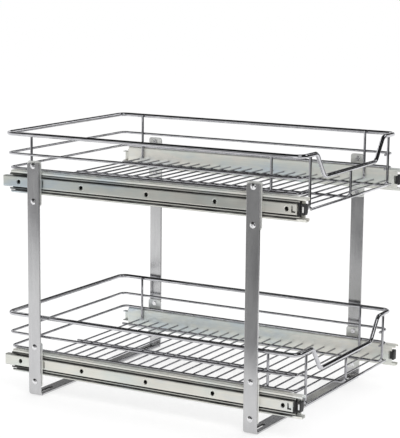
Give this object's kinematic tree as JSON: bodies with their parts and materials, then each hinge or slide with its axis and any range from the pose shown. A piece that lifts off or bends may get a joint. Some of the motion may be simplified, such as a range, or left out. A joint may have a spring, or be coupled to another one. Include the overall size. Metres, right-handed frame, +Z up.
{
  "type": "pull out cabinet basket",
  "caption": "Pull out cabinet organiser: wire baskets with dipped front handles slide out on ball bearing runners between bent strap frames.",
  "frame": {"origin": "on the floor, in the middle of the overall width and depth with both baskets pushed in", "axes": "front faces -Y, +X is to the right seen from the front, +Z is up"},
  "size_m": [0.3708, 0.5268, 0.4122],
  "materials": {
    "strap_steel": "satin bright plating on flat strap",
    "zinc_sheet": "zinc plated sheet, faint blue, green and straw tints",
    "zinc_plate": "zinc plated flat plate",
    "chrome_wire": "bright chrome plated wire",
    "rivet_steel": "bright plated rivet",
    "cage_steel": "bright pressed strip with steel balls",
    "bumper_rubber": "black, low gloss"
  },
  "bodies": {
    "frame": {"front_frame": "strap_steel", "rear_frame": "strap_steel", "bracket_lower_front_left": "zinc_plate", "bracket_lower_front_right": "zinc_plate", "bracket_lower_rear_left": "zinc_plate", "bracket_lower_rear_right": "zinc_plate", "bracket_upper_front_left": "zinc_plate", "bracket_upper_front_right": "zinc_plate", "bracket_upper_rear_left": "zinc_plate", "bracket_upper_rear_right": "zinc_plate", "front_frame_rivets": "rivet_steel", "rear_frame_rivets": "rivet_steel", "slide_rivets": "rivet_steel", "fixed_rail_lower_left": "zinc_sheet", "fixed_rail_lower_right": "zinc_sheet", "fixed_rail_upper_left": "zinc_sheet", "fixed_rail_upper_right": "zinc_sheet"},
    "lower_basket": {"outer_channel_lower_left": "zinc_sheet", "outer_channel_lower_right": "zinc_sheet", "bumper_lower_left": "bumper_rubber", "bumper_lower_right": "bumper_rubber", "lower_top_rail": "chrome_wire", "lower_middle_rail": "chrome_wire", "lower_bottom_rail": "chrome_wire", "lower_side_stays": "chrome_wire", "lower_front_stays": "chrome_wire", "lower_grid_wires": "chrome_wire", "lower_front_wire": "chrome_wire"},
    "lower_middle_rails": {"middle_rail_lower_left": "zinc_sheet", "middle_rail_lower_right": "zinc_sheet", "middle_stop_lower_left": "bumper_rubber", "middle_stop_lower_right": "bumper_rubber"},
    "lower_inner_cages": {"inner_cage_lower_left": "cage_steel", "inner_cage_lower_right": "cage_steel"},
    "lower_outer_cages": {"outer_cage_lower_left": "cage_steel", "outer_cage_lower_right": "cage_steel"},
    "upper_basket": {"outer_channel_upper_left": "zinc_sheet", "outer_channel_upper_right": "zinc_sheet", "bumper_upper_left": "bumper_rubber", "bumper_upper_right": "bumper_rubber", "upper_top_rail": "chrome_wire", "upper_middle_rail": "chrome_wire", "upper_bottom_rail": "chrome_wire", "upper_side_stays": "chrome_wire", "upper_front_stays": "chrome_wire", "upper_grid_wires": "chrome_wire", "upper_front_wire": "chrome_wire"},
    "upper_middle_rails": {"middle_rail_upper_left": "zinc_sheet", "middle_rail_upper_right": "zinc_sheet", "middle_stop_upper_left": "bumper_rubber", "middle_stop_upper_right": "bumper_rubber"},
    "upper_inner_cages": {"inner_cage_upper_left": "cage_steel", "inner_cage_upper_right": "cage_steel"},
    "upper_outer_cages": {"outer_cage_upper_left": "cage_steel", "outer_cage_upper_right": "cage_steel"}
  },
  "joints": [
    {"name": "lower_basket_slide", "type": "slide", "parent": "frame", "child": "lower_basket", "axis": [0, -1, 0], "range_m": [0, 0.48]},
    {"name": "lower_middle_rails_slide", "type": "slide", "parent": "frame", "child": "lower_middle_rails", "axis": [0, -1, 0], "range_m": [0, 0.24]},
    {"name": "lower_inner_cages_slide", "type": "slide", "parent": "frame", "child": "lower_inner_cages", "axis": [0, -1, 0], "range_m": [0, 0.12]},
    {"name": "lower_outer_cages_slide", "type": "slide", "parent": "frame", "child": "lower_outer_cages", "axis": [0, -1, 0], "range_m": [0, 0.36]},
    {"name": "upper_basket_slide", "type": "slide", "parent": "frame", "child": "upper_basket", "axis": [0, -1, 0], "range_m": [0, 0.48]},
    {"name": "upper_middle_rails_slide", "type": "slide", "parent": "frame", "child": "upper_middle_rails", "axis": [0, -1, 0], "range_m": [0, 0.24]},
    {"name": "upper_inner_cages_slide", "type": "slide", "parent": "frame", "child": "upper_inner_cages", "axis": [0, -1, 0], "range_m": [0, 0.12]},
    {"name": "upper_outer_cages_slide", "type": "slide", "parent": "frame", "child": "upper_outer_cages", "axis": [0, -1, 0], "range_m": [0, 0.36]}
  ],
  "couplings": [
    {"joint": "lower_middle_rails_slide", "follows": "lower_basket_slide", "ratio": 0.5},
    {"joint": "lower_inner_cages_slide", "follows": "lower_basket_slide", "ratio": 0.25},
    {"joint": "lower_outer_cages_slide", "follows": "lower_basket_slide", "ratio": 0.75},
    {"joint": "upper_middle_rails_slide", "follows": "upper_basket_slide", "ratio": 0.5},
    {"joint": "upper_inner_cages_slide", "follows": "upper_basket_slide", "ratio": 0.25},
    {"joint": "upper_outer_cages_slide", "follows": "upper_basket_slide", "ratio": 0.75}
  ]
}
